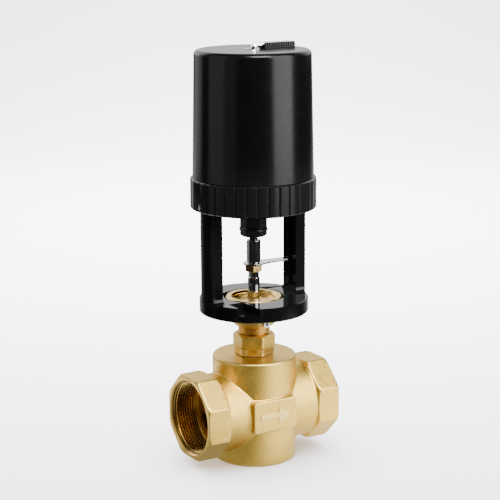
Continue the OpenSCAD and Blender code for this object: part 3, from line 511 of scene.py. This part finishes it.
def outer_solids():
    """The casting's barrel, pipe, octagonal ends and pad; the first is the one the others are added to."""
    steps = 160
    foot_r, foot_round = 32.6, 1.6
    top_r, top_round = 32.2, 2.0
    pipe_r, pipe_end = 32.4, 57
    end_length, slope_in, slope_out, slope = 20, 1.4, 0.3, 1.7
    pad_low, pad_high, pad_left, pad_right, pad_round = 32.6, 54.6, -20, 16, 2
    pad_front, pad_back = -36.2, -24
    centre = (0, 0, PIPE_Z)
    barrel = turned(
        "cast_shell",
        [(0, 0), (foot_r, 0), *arc(foot_r, foot_round, foot_round, -70, 0, 4),
         *arc(top_r, BODY_TOP - top_round, top_round, 0, 90, 5), (0, BODY_TOP)],
        "cast_brass", steps,
    )
    pipe = turned(
        "pipe", [(0, -pipe_end), (pipe_r, -pipe_end), (pipe_r, pipe_end), (0, pipe_end)],
        "cast_brass", steps, "X", centre=centre,
    )
    ends = []
    corner = END_FLAT / math.cos(math.pi / 8)
    for side in (-1, 1):
        inner, outer = side * (HALF - end_length), side * HALF
        profile = [
            (0, inner), (corner - slope_in, inner), (corner + slope_out, inner + side * slope),
            (corner + slope_out, outer - side * slope), (corner - slope_in, outer), (0, outer),
        ]
        ends.append(turned(f"end_{side}", profile, "cast_brass", steps, "X", octagon, centre=centre))
    pad = prism(
        "pad",
        [*arc(pad_right, pad_high, pad_round, 0, 90, 4), *arc(pad_left, pad_high, pad_round, 90, 180, 4),
         *arc(pad_left, pad_low, pad_round, 180, 270, 4), *arc(pad_right, pad_low, pad_round, 270, 360, 4)],
        pad_front, pad_back, "cast_brass", "Y",
    )
    return barrel, [pipe, *ends, pad]


def inner_cuts():
    """The body's bores, its two ports and the half-round ways from them to the seat, as one solid."""
    bore_r, bore_steps = 27, 96
    seat_low, seat_high = 36, 46
    port_r, port_floor, mouth, past = 29.8, 37.1, 1.2, 0.8
    way_r, way_start, way_end = 25, 12, 37.6

    def rod(name, radius, low, high):
        return turned(
            name, [(0, low), (radius, low), (radius, high), (0, high)], "bored_brass", bore_steps
        )

    cutters = [
        rod("cut_cap", 28.4, -2, 10.6),
        rod("cut_low", bore_r, 10, seat_low),
        rod("cut_seat", 24, seat_low - 1, seat_high + 1),
        rod("cut_high", bore_r, seat_high, 79),
        rod("cut_bonnet", BONNET_BORE, 78, 90),
    ]
    for side in (-1, 1):
        cutters.append(turned(
            f"cut_port_{side}",
            [(0, side * port_floor), (port_r, side * port_floor), (port_r, side * (HALF - mouth)),
             (port_r + mouth, side * HALF), (port_r + mouth + past, side * (HALF + past)),
             (0, side * (HALF + past))],
            "bored_brass", 160, "X", centre=(0, 0, PIPE_Z),
        ))
        level = (seat_high if side > 0 else seat_low) - PIPE_Z
        start = math.degrees(math.asin(level / way_r))
        span = (start, 180 - start) if side > 0 else (start, -180 - start)
        cutters.append(prism(
            f"cut_way_{side}", arc(0, 0, way_r, *span, 40), min(side * way_start, side * way_end),
            max(side * way_start, side * way_end), "bored_brass", "X", (0, 0, PIPE_Z),
        ))
    return combine(cutters[0], cutters[1:], "UNION")


def cast_body():
    """The casting: joined solids are remeshed and softened to round their meetings, then bored."""
    barrel, others = outer_solids()
    shell = combine(barrel, others, "UNION")
    remesh = shell.modifiers.new("remesh", "REMESH")
    remesh.mode = "VOXEL"
    remesh.voxel_size = 0.62 * MM
    soften = shell.modifiers.new("soften", "SMOOTH")
    soften.factor = 0.5
    soften.iterations = 4
    apply(shell)
    combine(shell, [inner_cuts()], "DIFFERENCE")
    places = np.empty(len(shell.data.vertices) * 3, np.float32)
    shell.data.vertices.foreach_get("co", places)
    places = places.reshape(-1, 3)
    # the softened ends and foot are kept a hair inside the body's own box
    margin = 0.002
    places[:, 0] = np.clip(places[:, 0], (margin - HALF) * MM, (HALF - margin) * MM)
    places[:, 2] = np.maximum(places[:, 2], margin * MM)
    shell.data.vertices.foreach_set("co", places.ravel())
    smooth(shell.data, 32)
    return standing_for(shell, "valve_body")


def flow_arrow():
    """A raised arrow on the pad, pointing from the inlet to the outlet."""
    tail, neck, tip = -16, 1, 12
    middle, half_shaft, half_head = 43.6, 1.8, 6.8
    outline = [
        (tail, middle - half_shaft), (neck, middle - half_shaft), (neck, middle - half_head),
        (tip, middle), (neck, middle + half_head), (neck, middle + half_shaft), (tail, middle + half_shaft),
    ]
    arrow = rounded(prism("flow_arrow", outline, -36.8, -35.4, "cast_brass", "Y"), 0.25)
    return standing_for(arrow, body="valve", slot="cast_brass")


# one pitch of the thread: how far along it each point is, and how far from the root to the crest
THREAD_FORM = ((0.0, 0.0), (0.10, 0.0), (0.26, 0.5), (0.42, 1.0), (0.58, 1.0), (0.74, 0.5), (0.90, 0.0))


def threaded(
    name, crest, root, wall, low, high, pitch, slot, axis="Z", steps=128, centre=(0, 0, 0), fade=1.0
):
    """A helical thread on a closed sleeve; its rows of points follow the helix, so the crests run clean."""
    form = len(THREAD_FORM)
    turns = int(math.ceil((high - low) / pitch)) + 2
    t = np.linspace(0, 2 * np.pi, steps, endpoint=False)
    place = np.array([k - 1 + phase for k in range(turns) for phase, _ in THREAD_FORM])
    rise = np.array([value for _ in range(turns) for _, value in THREAD_FORM])
    hh = np.clip(low + pitch * (place[None, :] + t[:, None] / (2 * np.pi)), low, high)
    ends = np.clip(np.minimum(hh - low, high - hh) / (pitch * fade), 0, 1)
    rr = root + (crest - root) * rise[None, :] * ends
    count = rr.shape[1]
    rr = np.concatenate([rr, np.full((steps, 2), wall)], 1)
    hh = np.concatenate([hh, np.full((steps, 1), high), np.full((steps, 1), low)], 1)
    u, v = rr * np.cos(t)[:, None], rr * np.sin(t)[:, None]
    points = np.stack([u, v, hh], -1) if axis == "Z" else np.stack([hh, u, v], -1)
    points = (points + np.array(centre, float)).reshape(-1, 3) * MM
    width = count + 2
    faces = []
    for i in range(steps):
        last = i == steps - 1

        def ahead(q):
            if not last:
                return (i + 1) * width + q
            return min(q + form, count - 1) if q < count else q

        for q in range(width):
            following = (q + 1) % width
            faces.append((i * width + q, ahead(q), ahead(following), i * width + following))
    mesh = bpy.data.meshes.new(name)
    mesh.from_pydata(points.tolist(), [], faces)
    bm = bmesh.new()
    bm.from_mesh(mesh)
    clean(bm)
    bm.to_mesh(mesh)
    bm.free()
    smooth(mesh, 34)
    return new_object(name, mesh, slot)


cast_body()
flow_arrow()
PORT_WALL, THREAD_START, THREAD_END = 30.3, 38.0, 61.0
for label, way in (("inlet", -1), ("outlet", 1)):
    ends = sorted((way * THREAD_START, way * THREAD_END))
    thread = threaded(
        label + "_thread", PORT_CREST, PORT_ROOT, PORT_WALL, *ends, PORT_PITCH, "port_thread", "X", 192,
        (0, 0, PIPE_Z),
    )
    standing_for(thread, body="valve", slot="turned_brass")


# ---------------------------------------------------------------- bonnet
def hexagon(flats, corner_angle, soft=0.25):
    """Radius of a hexagon whose first corner is at an angle in degrees, with softened corners."""
    def radius(tt):
        sector = np.mod(tt - math.radians(corner_angle), np.pi / 3) - np.pi / 6
        plain = flats / 2 / np.cos(sector)
        corner = flats / 2 / math.cos(math.pi / 6)
        return plain - soft * np.exp(-((corner - plain) / 0.35) ** 1.0)
    return radius


def bonnet():
    """The bonnet's two hexagons, the upper one chamfered, with its spigot, bores and threaded neck."""
    wide, narrow, turn = 30.4, 29.0, 23.2
    spigot_low, step, hexagon_top, neck_top, packing_floor = 78, 93.7, 104.9, 130.6, 112
    spigot_r, hexagon_floor, blank_r, inner_r = 13.45, 88.1, 17, 14.9
    stem_r, packing_r, core_r, chamfer = 5.1, 8, 12.1, 1.5
    large, small = hexagon(wide, turn), hexagon(narrow, turn)

    def shape(tt, rr, hh):
        limit = np.where(hh > step, large(tt), small(tt))
        return np.where(rr > 14.2, np.minimum(rr, limit), rr)

    outer_r = wide / 2 / math.cos(math.pi / 6) + 0.1
    widening = [(inner_r + (outer_r - inner_r) * k / 6, chamfer * k / 6) for k in range(7)]
    profile = [
        (stem_r, spigot_low), (spigot_r, spigot_low), (spigot_r, BODY_TOP - 0.1), (14.3, hexagon_floor),
        (blank_r, hexagon_floor), (blank_r, step - 0.02),
        *[(r, step + 0.02 + rise) for r, rise in widening],
        *[(r, hexagon_top - rise) for r, rise in reversed(widening)],
        (core_r, hexagon_top), (core_r, neck_top), (packing_r, neck_top), (packing_r, packing_floor),
        (stem_r, packing_floor),
    ]
    piece = turned("bonnet_piece", profile, "turned_brass", 360, shape=shape, angle=24)
    standing_for(piece, "bonnet")
    piece.data.materials.clear()
    piece.data.materials.append(finish_of("cast_brass"))
    thread = threaded(
        "neck_thread", NECK_CREST, NECK_ROOT, 11.9, hexagon_top, neck_top - 0.2, NECK_PITCH, "neck_thread",
        fade=0.6,
    )
    standing_for(thread, body="valve", slot="turned_brass")


bonnet()
# edge roundings in mm
for node, width in {
    "bottom_cap": 0.4, "bottom_seal": 0.2, "seat_ring": 0.2, "bonnet_gasket": 0.1, "stem_packing": 0.3,
    "gland_bush": 0.25, "mount_collar": 0.3, "collar_screw": 0.25, "ring_nut": 0.35,
}.items():
    dressed(node, width)


# ---------------------------------------------------------------- yoke, ring and cover
dressed("yoke", 0.6, 3)


RIBS = 36
# one rib and its groove: degrees from the groove's middle, and the depth there in mm
GROOVE = ((0, 0.9), (0.35, 0.4), (0.6, 0.1), (0.95, 0), (9.05, 0), (9.4, 0.1), (9.65, 0.4))


def ring_facets():
    """The angles round the ring at which points stand, and how deep each lies in a groove."""
    first = 2.2
    angles, depths = [], []
    for rib in range(RIBS):
        for offset, depth in GROOVE:
            angles.append(first + rib * 360 / RIBS + offset)
            depths.append(depth)
    return angles, np.array(depths)


def housing_ring():
    """The ribbed ring with its spigot and floor, the pad for the gland, and its three holes."""
    chamfer, fillet = 0.6, 0.7
    inner_r, spigot_r, groove_r, chamber_r, bush_r = 45.5, 45.4, 44.2, 43.6, 14
    groove_low, groove_high, spigot_top = 236.4, 238.4, 241
    floor_low, floor_top = 217.6, 221
    pad_half, pad_inner, pad_outer = 9.5, 46.5, 53
    screw_r, screw_z, gland_r = 3.4, 213.6, 6.05
    angles, depths = ring_facets()

    def shape(tt, rr, hh):
        return np.where(rr > 49, rr - depths[:, None], rr)

    profile = [
        (inner_r, RING_LOW), (RING_R - chamfer, RING_LOW), (RING_R, RING_LOW + chamfer),
        (RING_R, RING_TOP - fillet), (RING_R - fillet, RING_TOP), (spigot_r, RING_TOP),
        (spigot_r, groove_low), (groove_r, groove_low), (groove_r, groove_high), (spigot_r, groove_high),
        (spigot_r, spigot_top - 0.4), (spigot_r - 0.4, spigot_top), (chamber_r, spigot_top),
        (chamber_r, floor_top), (bush_r, floor_top), (bush_r, floor_low), (inner_r, floor_low),
    ]
    ring = turned("housing_ring_piece", profile, "black_plastic", angles=angles, shape=shape, angle=30)
    outline = [(-pad_half, RING_LOW), (pad_half, RING_LOW), (pad_half, RING_TOP), (-pad_half, RING_TOP)]
    pad = rounded(prism("gland_pad", outline, pad_inner, pad_outer, "black_plastic", "Y"), 0.6)
    combine(ring, [pad], "UNION")
    cutters = [
        turned(
            f"cut_{s}", [(0, s * 38), (screw_r, s * 38), (screw_r, s * 54), (0, s * 54)],
            "black_plastic", 40, "X", centre=(0, 0, screw_z),
        )
        for s in (-1, 1)
    ]
    cutters.append(turned(
        "cut_gland", [(0, 40), (gland_r, 40), (gland_r, 55), (0, 55)], "black_plastic", 48, "Y",
        centre=(0, 0, GLAND_Z),
    ))
    combine(ring, cutters, "DIFFERENCE")
    smooth(ring.data, 30)
    return standing_for(ring, "housing_ring")


def cover():
    """The tapering cover with its rounded shoulder and the hole for the key bush."""
    foot, top, edge, height, wall = 48.8, 46.7, 4.0, 335.9, 2.7
    low, chamfer, key_r, roof, inner_edge = 234.3, 0.4, 4.6, 3.2, 3
    start = low + chamfer
    profile = [
        (foot - wall, low), (foot - chamfer, low), (foot, start),
        *[(foot + (top - foot) * k / 6, start + (height - edge - start) * k / 6) for k in range(1, 6)],
        *arc(top - edge, height - edge, edge, 0, 90, 12),
        (20, height), (key_r, height), (key_r, height - roof), (top - wall - inner_edge, height - roof),
        *arc(top - wall - inner_edge, height - roof - inner_edge, inner_edge, 90, 0, 6),
    ]
    piece = turned("cover_piece", profile, "black_plastic", 240, angle=40)
    return standing_for(piece, "cover")


housing_ring()
cover()

# edge roundings in mm
for node, width in {
    "ring_screws": 0.3, "guide_bush": 0.3, "cover_seal": 0.3, "lower_spacers": 0.2, "lower_plate": 0.25,
    "upper_spacers": 0.2, "upper_plate": 0.25, "idler_axle": 0.2, "motor_can": 0.8, "motor_stator": 0.4,
    "board_posts": 0.2, "circuit_board": 0.15, "terminal_block": 0.3, "capacitor": 0.8,
    "transformer": 0.5, "relays": 0.5, "switch_low": 0.3, "switch_high": 0.3, "cable_gland": 0.3,
    "gland_washer": 0.2, "gland_cap": 0.4, "spindle_hex": 0.35, "circlip": 0.2, "coupler": 0.2,
    "pointer": 0.15, "lock_nut": 0.25, "valve_stem": 0.2, "valve_plug": 0.3, "plug_seal": 0.2,
    "plug_nut": 0.2, "trip_flag": 0.2, "lead_screw": 0.05, "drive_gear": 0.08, "override_shaft": 0.2,
    "idler_gear": 0.08, "motor_rotor": 0.3, "motor_pinion": 0.08, "key_clip": 0.2, "key_bush": 0.12,
    "hex_key": 0.12, "button_low": 0.2, "button_high": 0.2,
}.items():
    dressed(node, width)


# ---------------------------------------------------------------- studio
CAMERA_AZIMUTH = math.radians(-31.773)

# strengths of the pool of light under the object and of the wall behind it
POOL = 0.42
WALL = 1.7

back = Vector((math.sin(CAMERA_AZIMUTH), -math.cos(CAMERA_AZIMUTH), 0))
side = Vector((math.cos(CAMERA_AZIMUTH), math.sin(CAMERA_AZIMUTH), 0))


def around(angle, distance, height):
    """A point round the object; the angle runs to the camera's right."""
    a = math.radians(angle)
    return (back * math.cos(a) + side * math.sin(a)) * distance + Vector((0, 0, height))


def paper():
    """Seen directly the paper is nearly white, with soft shade; other rays see dim pools of light."""
    material = bpy.data.materials.new("paper")
    material.use_nodes = True
    tree = material.node_tree
    tree.nodes.clear()

    def node(kind, **values):
        made = tree.nodes.new(kind)
        for key, value in values.items():
            if key in made.inputs:
                made.inputs[key].default_value = value
            else:
                setattr(made, key, value)
        return made

    def falloff(centre, near, far, low, high):
        away = node("ShaderNodeVectorMath", operation="DISTANCE")
        tree.links.new(place, away.inputs[0])
        away.inputs[1].default_value = centre
        made = node("ShaderNodeMapRange", interpolation_type="SMOOTHSTEP")
        for key, value in (("From Min", near), ("From Max", far), ("To Min", low), ("To Max", high)):
            made.inputs[key].default_value = value
        tree.links.new(away.outputs["Value"], made.inputs["Value"])
        return made.outputs["Result"]

    place = node("ShaderNodeTexCoord").outputs["Object"]
    shadow_reach = 0.075
    shadow, white = (0.20, 0.155, 0.11, 1), (0.96, 0.955, 1.0, 1)
    shade = node("ShaderNodeAmbientOcclusion", samples=24)
    shade.inputs["Distance"].default_value = shadow_reach
    open_sky = node("ShaderNodeMapRange")
    for key, value in (("From Min", 0.22), ("From Max", 0.98), ("To Min", 0.0), ("To Max", 1.0)):
        open_sky.inputs[key].default_value = value
    tree.links.new(shade.outputs["AO"], open_sky.inputs["Value"])
    tint = node("ShaderNodeMix", data_type="RGBA")
    tint.inputs[6].default_value = shadow
    tint.inputs[7].default_value = white
    tree.links.new(open_sky.outputs["Result"], tint.inputs["Factor"])
    seen = node("ShaderNodeEmission")
    tree.links.new(tint.outputs[2], seen.inputs["Color"])
    # painted pool of light: seen directly, the paper is brightest near a point behind the object and dims
    # further out
    tree.links.new(falloff(around(180, 1.0, 0), 0.15, 1.25, 8.6, 4.3), seen.inputs["Strength"])
    pool = node("ShaderNodeEmission", Color=(1.0, 0.99, 0.98, 1))
    # each pool: its centre, the radii between which it fades, and the strengths there
    near = falloff((0, 0, 0), 0.26, 0.50, POOL, 0.02)
    right = falloff(around(78, 0.25, 0), 0.09, 0.31, 3.1, 0.0)
    mouth = falloff(around(-116, 0.24, 0), 0.06, 0.22, 2.4, 0.0)
    left = falloff(around(-80, 0.85, 0), 0.1, 0.36, 0.4, 0.0)
    behind = falloff(around(180, 1.25, 0), 0.75, 1.15, 0.8, 0.0)
    height = node("ShaderNodeSeparateXYZ")
    tree.links.new(place, height.inputs[0])
    wall_low, wall_high = 0.12, 0.65
    wall = node("ShaderNodeMapRange", interpolation_type="SMOOTHSTEP")
    for key, value in (("From Min", wall_low), ("From Max", wall_high), ("To Min", 0.0), ("To Max", WALL)):
        wall.inputs[key].default_value = value
    tree.links.new(height.outputs["Z"], wall.inputs["Value"])
    level = near
    for other in (right, mouth, left, behind, wall.outputs["Result"]):
        total = node("ShaderNodeMath", operation="MAXIMUM")
        tree.links.new(level, total.inputs[0])
        tree.links.new(other, total.inputs[1])
        level = total.outputs[0]
    tree.links.new(level, pool.inputs["Strength"])
    path = node("ShaderNodeLightPath")
    either = node("ShaderNodeMixShader")
    tree.links.new(path.outputs["Is Camera Ray"], either.inputs["Fac"])
    tree.links.new(pool.outputs[0], either.inputs[1])
    tree.links.new(seen.outputs[0], either.inputs[2])
    output = node("ShaderNodeOutputMaterial")
    tree.links.new(either.outputs[0], output.inputs["Surface"])
    return material


def backdrop():
    """A sheet of paper: floor, a rounded corner behind the object, and a wall."""
    floor_front, floor_length, corner, wall_height, half_width = -2.6, 1.5, 0.6, 2.6, 3.0
    sink = 0.0002
    profile = [(floor_front, 0.0), (floor_length, 0.0)]
    profile += [
        (floor_length + corner * math.sin(a), corner * (1 - math.cos(a)))
        for a in np.linspace(0, math.pi / 2, 14)[1:]
    ]
    profile.append((floor_length + corner, wall_height))
    rows = [
        [-back * d + side * s * half_width + Vector((0, 0, z - sink)) for d, z in profile] for s in (-1, 1)
    ]
    n = len(profile)
    mesh = bpy.data.meshes.new("backdrop")
    mesh.from_pydata(
        [tuple(p) for row in rows for p in row], [], [(k, k + 1, n + k + 1, n + k) for k in range(n - 1)]
    )
    mesh.materials.append(paper())
    mesh.polygons.foreach_set("use_smooth", np.ones(len(mesh.polygons), bool))
    made = bpy.data.objects.new("backdrop", mesh)
    bpy.context.scene.collection.objects.link(made)


def softbox(name, angle, distance, height, width, tall, power):
    """A rectangular light round the object, turned to the object's middle."""
    aim = 0.17
    data = bpy.data.lights.new(name, "AREA")
    data.shape = "RECTANGLE"
    data.size, data.size_y = width, tall
    data.energy = power
    made = bpy.data.objects.new(name, data)
    made.location = around(angle, distance, height)
    direction = Vector((0, 0, aim)) - made.location
    made.rotation_euler = direction.to_track_quat("-Z", "Y").to_euler()
    bpy.context.scene.collection.objects.link(made)


def studio():
    """The backdrop, five softboxes and a world that is bright only where the camera sees it."""
    backdrop()
    dim, bright = 0.03, 4.5
    softbox("right_box", 59.5, 1.3, 0.62, 1.08, 1.9, 43)
    softbox("left_box", -74, 1.3, 0.5, 0.85, 1.7, 4.4)
    softbox("left_fill", -46, 1.3, 0.5, 0.75, 1.7, 1.7)
    softbox("left_back", -130, 1.3, 0.5, 0.8, 1.7, 3.6)
    softbox("top_box", 20, 0.75, 1.25, 0.6, 0.5, 26)
    world = bpy.data.worlds.new("world")
    world.use_nodes = True
    tree = world.node_tree
    shade = tree.nodes["Background"]
    shade.inputs["Color"].default_value = (0.96, 0.96, 1.0, 1)
    path = tree.nodes.new("ShaderNodeLightPath")
    level = tree.nodes.new("ShaderNodeMapRange")
    level.inputs["To Min"].default_value = dim
    level.inputs["To Max"].default_value = bright
    tree.links.new(path.outputs["Is Camera Ray"], level.inputs["Value"])
    tree.links.new(level.outputs["Result"], shade.inputs["Strength"])
    bpy.context.scene.world = world


def turned_towards(first, second, angle):
    """Two directions square to each other, turned by an angle in degrees from the first to the second."""
    c, s = math.cos(math.radians(angle)), math.sin(math.radians(angle))
    return first * c + second * s, second * c - first * s


def camera():
    """The camera, standing at the azimuth above and looking down at the object."""
    sensor, focal_per_width = 36.0, 2.98078
    yaw, pitch, roll = -0.141, 12.678, -0.314
    distance, height = 1.17841, 0.4388
    data = bpy.data.cameras.new("camera")
    data.sensor_width = sensor
    data.lens = focal_per_width * sensor
    made = bpy.data.objects.new("camera", data)
    forward, right, up = -back, side.copy(), Vector((0, 0, 1))
    forward, right = turned_towards(forward, right, yaw)
    forward, up = turned_towards(forward, up, -pitch)
    right, up = turned_towards(right, up, roll)
    turn = Matrix((right, up, -forward)).transposed().to_4x4()
    made.matrix_world = Matrix.Translation(back * distance + Vector((0, 0, height))) @ turn
    bpy.context.scene.collection.objects.link(made)
    bpy.context.scene.camera = made


studio()
camera()
